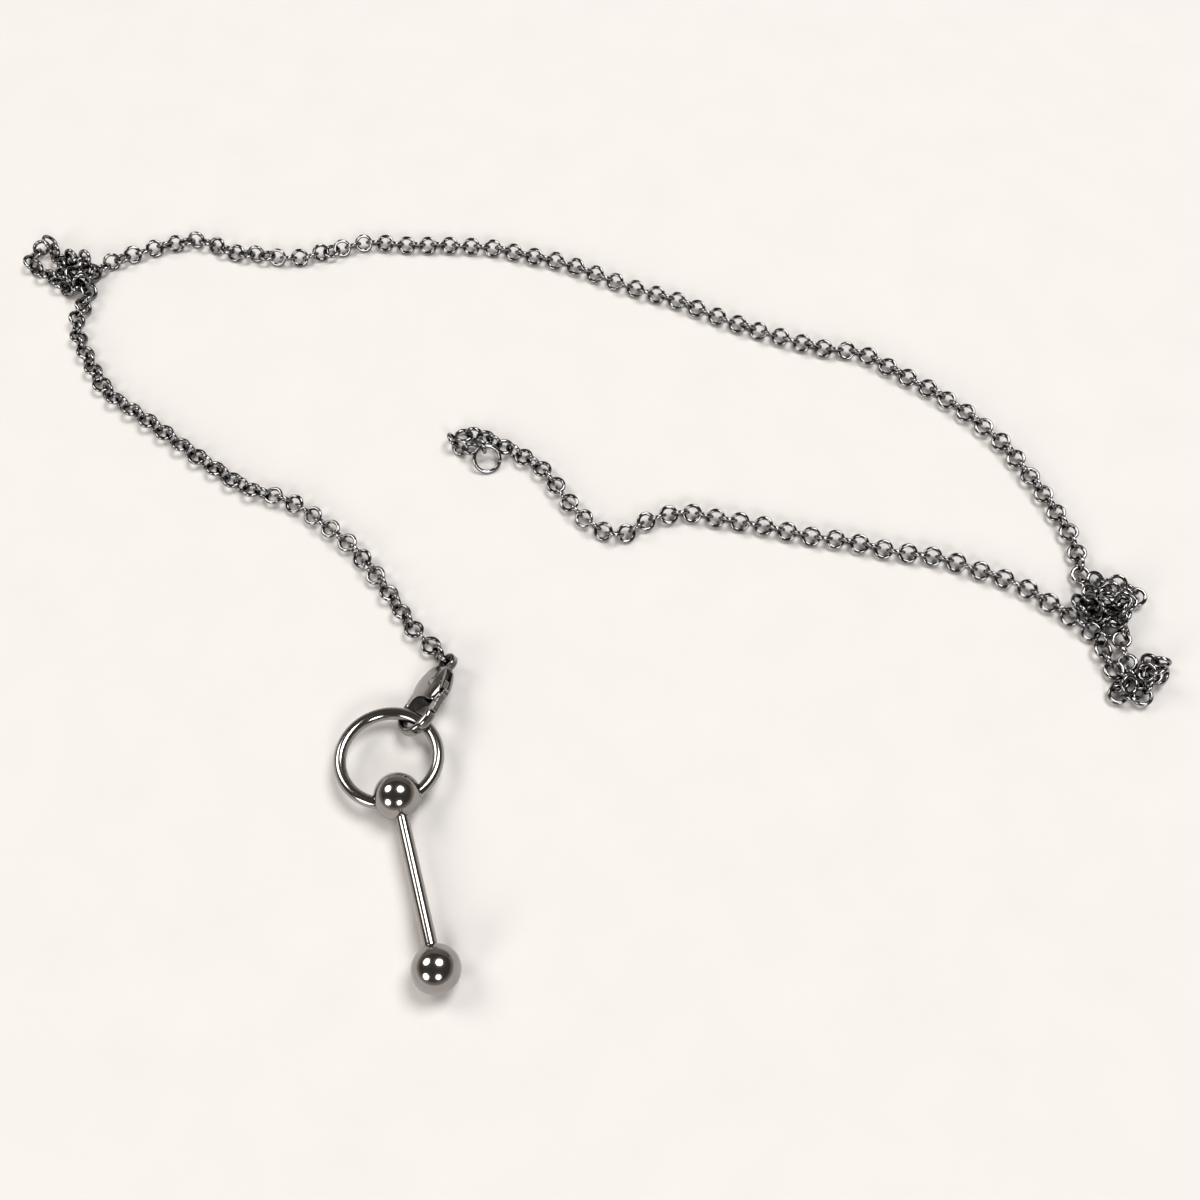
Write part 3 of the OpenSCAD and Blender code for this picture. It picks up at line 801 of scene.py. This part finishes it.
end_top = end_at - end_mean * end_down
last_way = unit(LAST_WAY - (LAST_WAY @ end_side) * end_side)
last_at = end_top + LAST_HANG * last_way


def on_table(right, down, height):
    """The place at this height over the table that shows at these pixels of the photograph."""
    pixel = SENSOR / LENS / PICTURE
    sight = view_way + (right - PICTURE / 2) * pixel * view_right + (PICTURE / 2 - down) * pixel * view_up
    start = -VIEW_DISTANCE * view_way
    return start + (height - start[2]) / sight[2] * sight


def smooth_curve(knots):
    """Even-tempered curve through points: the spacing of its knots follows their distance."""
    knots = np.vstack([2 * knots[0] - knots[1], knots, 2 * knots[-1] - knots[-2]])
    share = np.linspace(0, 1, CURVE_STEPS, endpoint=False)[:, None]
    pieces = []
    for i in range(1, len(knots) - 2):
        p = knots[i - 1:i + 3]
        t = np.concatenate([[0], np.cumsum(np.linalg.norm(np.diff(p, axis=0), axis=1) ** 0.5)])
        now = t[1] + share * (t[2] - t[1])

        def between(a, b, low, high):
            return ((t[high] - now) * a + (now - t[low]) * b) / (t[high] - t[low])

        first, middle, last = (between(p[k], p[k + 1], k, k + 1) for k in range(3))
        pieces.append(between(between(first, middle, 0, 2), between(middle, last, 1, 3), 1, 2))
    return np.vstack(pieces + [knots[-2][None]])


def lying(run):
    return [(x, y, LYING_HEIGHT) for x, y in run]


def piled(heap):
    return [on_table(*place) for place in heap]


stretches = [lying(RUN_FROM_CLASP), piled(LEFT_HEAP), lying(RUN_ACROSS), piled(RIGHT_HEAP),
             lying(RUN_BACK), END_HEAP]
route = smooth_curve(np.vstack([first_at, np.vstack(stretches) + table_step, last_at]))
route_at = np.concatenate([[0], np.cumsum(np.linalg.norm(np.diff(route, axis=0), axis=1))])
print(f"leash route {route_at[-1]:.0f} mm")

# %% [markdown]
# ## Threading and settling the links
# Each link is a rigid ring that goes through the next, a quarter turn apart. How the pairs are rolled
# round the line gives the chain its two looks in the photograph: one link open to the camera and the
# next on edge (no lean), or both leaning alike (about 45 degrees), which looks like a rope. Placed by
# formula alone they would cut into each other at the bends, so a short settling run pushes touching
# rings apart, lets them sink, and keeps them above the paper. A ring is a circle with a thickness here,
# so two of them touch where a place on one rim comes too near to the other's circle.


# %% Helpers for rings on the route
def along_route(at):
    return np.stack([np.interp(at, route_at, route[:, k]) for k in range(3)], 1)


def turned_by(spin):
    """Rotation matrices for turning vectors."""
    angle = np.linalg.norm(spin, axis=1) + 1e-12
    x, y, z = (spin / angle[:, None]).T
    none = np.zeros_like(x)
    skew = np.stack([none, -z, y, z, none, -x, -y, x, none], 1).reshape(-1, 3, 3)
    sine, cosine = np.sin(angle)[:, None, None], np.cos(angle)[:, None, None]
    return np.eye(3) + sine * skew + (1 - cosine) * skew @ skew


def ring_frame(way, roll):
    """Columns: along the chain, across it, and the ring's own axis, rolled from the sight line."""
    over = -view_way + way * (way @ view_way)[:, None]
    over /= np.linalg.norm(over, axis=1)[:, None]
    axis = np.cos(roll)[:, None] * over + np.sin(roll)[:, None] * np.cross(way, over)
    return np.stack([way, np.cross(axis, way), axis], axis=2)


def fixed_frame(axis, way):
    way = unit(way - (way @ axis) * axis)
    return np.stack([way, np.cross(axis, way), axis], axis=1)


# %% How far apart the links are, and which way the chain runs at each
TAUTNESS = 0.985
LOOK_ROUND = 0.6
count = round(route_at[-1] / (TAUTNESS * (2 * link_r - LINK_WIRE))) + 1
link_at = np.linspace(0, route_at[-1], count)
places = along_route(link_at)
ways = along_route(np.clip(link_at + LOOK_ROUND, 0, route_at[-1]))
ways -= along_route(np.clip(link_at - LOOK_ROUND, 0, None))
ways /= np.linalg.norm(ways, axis=1)[:, None]
print(count, "links,", round(link_at[1], 2), "mm apart")

# %% How much the links lean: for each stretch, shares of its length and degrees
LEANS = [
    [(0, 30), (0.08, 5), (0.13, 30), (0.18, 42), (0.23, 5), (0.44, 8), (0.5, 42), (1, 45)],
    [(0, 45), (1, 45)],
    [(0, 45), (0.045, 35), (0.06, 5), (0.08, 10), (0.1, 42), (0.135, 35), (0.145, 5), (0.155, 35),
     (0.18, 42), (0.2, 15), (0.22, 15), (0.24, 40), (0.27, 4), (1, 0)],
    [(0, 10), (0.5, 25), (1, 10)],
    [(0, 0), (0.85, 0), (1, 30)],
    [(0, 40), (1, 40)]]
FIRST_LEAN, ROPE_FROM, STEADY = 30, 5, 0.3
ROLL_NOISE, LOOSE_NOISE, TILT_NOISE, STRAY = 4.0, 7.0, 4.0, 0.05
leans, before = [(0.0, FIRST_LEAN)], 1
for stretch, lean_of in zip(stretches, LEANS):
    for share, degrees in lean_of:
        knot = before + share * (len(stretch) - 1)
        leans.append((route_at[round(CURVE_STEPS * knot)], degrees))
    before += len(stretch)
random = np.random.default_rng(5)
lean = np.interp(link_at, *zip(*leans))
loose = np.where(lean > ROPE_FROM, 1.0, STEADY)
lean += random.normal(0, 1, count) * np.where(lean > ROPE_FROM, LOOSE_NOISE, ROLL_NOISE)
roll = np.radians(lean + 90 * (np.arange(count) % 2))
print("links that lean:", (lean > ROPE_FROM).sum())

# %% Place the links, and hold the first in the clasp's eye and the last in the end ring
tilt = np.radians(TILT_NOISE) * loose[:, None] * random.normal(0, 1, (count, 3))
turns = turned_by(tilt) @ ring_frame(ways, roll)
stray = STRAY * loose[:, None] * random.normal(0, 1, (count, 2))
places[2:-2, :2] += stray[2:-2]
turns[0] = fixed_frame(unit(np.cross(first_way, eye_axis)), first_way)
turns[-1] = fixed_frame(end_side, last_way)
places = np.vstack([places, eye_at, end_at])
turns = np.concatenate([turns, [fixed_frame(eye_axis, clasp_along), fixed_frame(end_axis, end_down)]])
radii = np.array([link_r] * count + [EYE_MEAN, end_mean])
halves = np.array([LINK_WIRE / 2] * count + [EYE_HALF, end_wire])
free = np.array([0.0] + [1.0] * (count - 2) + [0.0] * 3)
print("free to move:", int(free.sum()), "of", len(free), "rings")


# %% Settle the rings
def closest(places, turns, a, b, rim):
    """The place on ring a's rim that is nearest to ring b's circle, and b's place there."""
    seen = np.einsum("mkr,mrc->mkc", rim[a] - places[b][:, None], turns[b])
    flat = np.hypot(seen[..., 0], seen[..., 1]) + 1e-9
    on_b = np.stack([seen[..., 0], seen[..., 1], 0 * flat], -1) * (radii[b][:, None] / flat)[..., None]
    gap = np.linalg.norm(seen - on_b, axis=2)
    k = gap.argmin(1)
    m = np.arange(len(a))
    apart = np.einsum("mrc,mc->mr", turns[b], seen[m, k] - on_b[m, k])
    return gap[m, k], apart, rim[a, k] - places[a], np.einsum("mrc,mc->mr", turns[b], on_b[m, k])


def spin_from(turns, who, torque):
    """How a thin ring answers a torque: half as much round its own axis as across it."""
    axis = turns[who][:, :, 2]
    return (2 * torque - axis * (axis * torque).sum(1)[:, None]) / (radii[who] ** 2)[:, None]


FLOOR_GAP = 0.03
RIM_PLACES, FIND_EVERY, NEIGHBOUR_GAP = 16, 10, 0.35
FIRMNESS, CROWDING = 0.7, 0.45
HOLD, HOLD_TURN, LONGEST_STEP = 0.03, 0.1, 0.12


def settle(places, turns, rounds, sink):
    """Pushes touching rings apart, and draws each back a little to where and how it lay."""
    start, first_axes = places.copy(), turns[:, :, 2].copy()
    everyone = np.arange(len(places))
    clock = np.arange(RIM_PLACES) * 2 * math.pi / RIM_PLACES
    circle = np.stack([np.cos(clock), np.sin(clock), 0 * clock], 1)
    for step in range(rounds):
        if step % FIND_EVERY == 0:
            apart = ((places[:, None] - places[None]) ** 2).sum(2)
            reach = (radii + halves)[:, None] + (radii + halves)[None] + NEIGHBOUR_GAP
            one, two = np.where(np.triu(apart < reach ** 2, 1))
            a, b = np.concatenate([one, two]), np.concatenate([two, one])
        places[:, 2] -= sink * free
        rim = places[:, None] + np.einsum("kc,nrc->nkr", circle, turns) * radii[:, None, None]
        gap, apart, arm_a, arm_b = closest(places, turns, a, b, rim)
        deep = halves[a] + halves[b] - gap
        hit = deep > 0
        a_hit, b_hit = a[hit], b[hit]
        push = apart[hit] / np.maximum(gap[hit], 1e-6)[:, None]
        torque_a, torque_b = np.cross(arm_a[hit], push), np.cross(arm_b[hit], push)
        spin_a = spin_from(turns, a_hit, torque_a) * free[a_hit][:, None]
        spin_b = spin_from(turns, b_hit, torque_b) * free[b_hit][:, None]
        ease = free[a_hit] + free[b_hit] + (torque_a * spin_a).sum(1) + (torque_b * spin_b).sum(1)
        much = (FIRMNESS * deep[hit] / np.maximum(ease, 1e-6))[:, None]
        move, spin, hits = np.zeros_like(places), np.zeros_like(places), np.zeros(len(places))
        np.add.at(move, a_hit, much * push * free[a_hit][:, None])
        np.add.at(move, b_hit, -much * push * free[b_hit][:, None])
        np.add.at(spin, a_hit, much * spin_a)
        np.add.at(spin, b_hit, -much * spin_b)
        np.add.at(hits, np.concatenate([a_hit, b_hit]), 1)
        share = np.maximum(1, CROWDING * hits)[:, None]
        for change in (move, spin):
            change /= share
            change *= np.minimum(1, LONGEST_STEP / np.maximum(np.linalg.norm(change, axis=1), 1e-9))[:, None]
        places += move
        places[:, :2] += HOLD * (start[:, :2] - places[:, :2]) * free[:, None]
        spin += HOLD_TURN * np.cross(turns[:, :, 2], first_axes) * free[:, None]
        turns = turned_by(spin) @ turns
        axis = turns[:, :, 2]
        down = axis * axis[:, 2:] - UP
        slope = np.linalg.norm(down, axis=1) + 1e-9
        under = np.clip(radii * slope + halves + FLOOR_GAP - places[:, 2], 0, None) * free
        torque = np.cross(down / slope[:, None] * radii[:, None], UP)
        spin = spin_from(turns, everyone, torque)
        lift = under / (1 + (torque * spin).sum(1))
        places[:, 2] += lift
        turns = turned_by(lift[:, None] * spin) @ turns
    fitted, _, other = np.linalg.svd(turns)
    loose_pair = free[a] + free[b] > 0
    print(f"settled {rounds} rounds: {hit.sum()} touches, deepest {deep[loose_pair].max():.3f} mm")
    return places, fitted @ other


SINKING_ROUNDS, RESTING_ROUNDS, SINK = 220, 300, 0.005
places, turns = settle(places, turns, SINKING_ROUNDS, SINK)
places, turns = settle(places, turns, RESTING_ROUNDS, 0.0)

# %% [markdown]
# ## One link, then all of them
# The wire of a small cable link is not quite round: rolling and tumbling have flattened it a little,
# and those small flats are what flashes along the chain. So its section is a rounded square, and each
# link gets a breath of its own size. All the links are one mesh, since they are one chain.

# %% Mesh of the links
LINK_ROWS, LINK_SIDES = 27, 12
SQUARENESS = 2.6
SIZE_NOISE = 0.008
clock = np.arange(LINK_ROWS) * 2 * math.pi / LINK_ROWS
around = (np.arange(LINK_SIDES) + 0.5) * 2 * math.pi / LINK_SIDES
flatten = (np.abs(np.cos(around)) ** SQUARENESS + np.abs(np.sin(around)) ** SQUARENESS) ** (-1 / SQUARENESS)
outward, sideways = (LINK_WIRE / 2 * flatten * wave(around) for wave in (np.cos, np.sin))
reach = link_r + outward[None]
one_link = np.stack([reach * np.cos(clock)[:, None], reach * np.sin(clock)[:, None],
                     np.broadcast_to(sideways, (LINK_ROWS, LINK_SIDES))], -1).reshape(-1, 3)
sizes = 1 + random.normal(0, SIZE_NOISE, count)
all_points = np.einsum("pc,nrc->npr", one_link, turns[:count]) * sizes[:, None, None] + places[:count, None]
one_faces = np.array(sweep_faces(LINK_ROWS, LINK_SIDES, True))
all_faces = (one_faces[None] + np.arange(count)[:, None, None] * len(one_link)).reshape(-1, 4)
links = new_object("leash_links", all_points.reshape(-1, 3), all_faces.tolist(), chain_steel)
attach(links, "root")
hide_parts("leash_chain")
print(len(links.data.polygons) * 2, "triangles in the chain; lowest", round(all_points[..., 2].min(), 3))
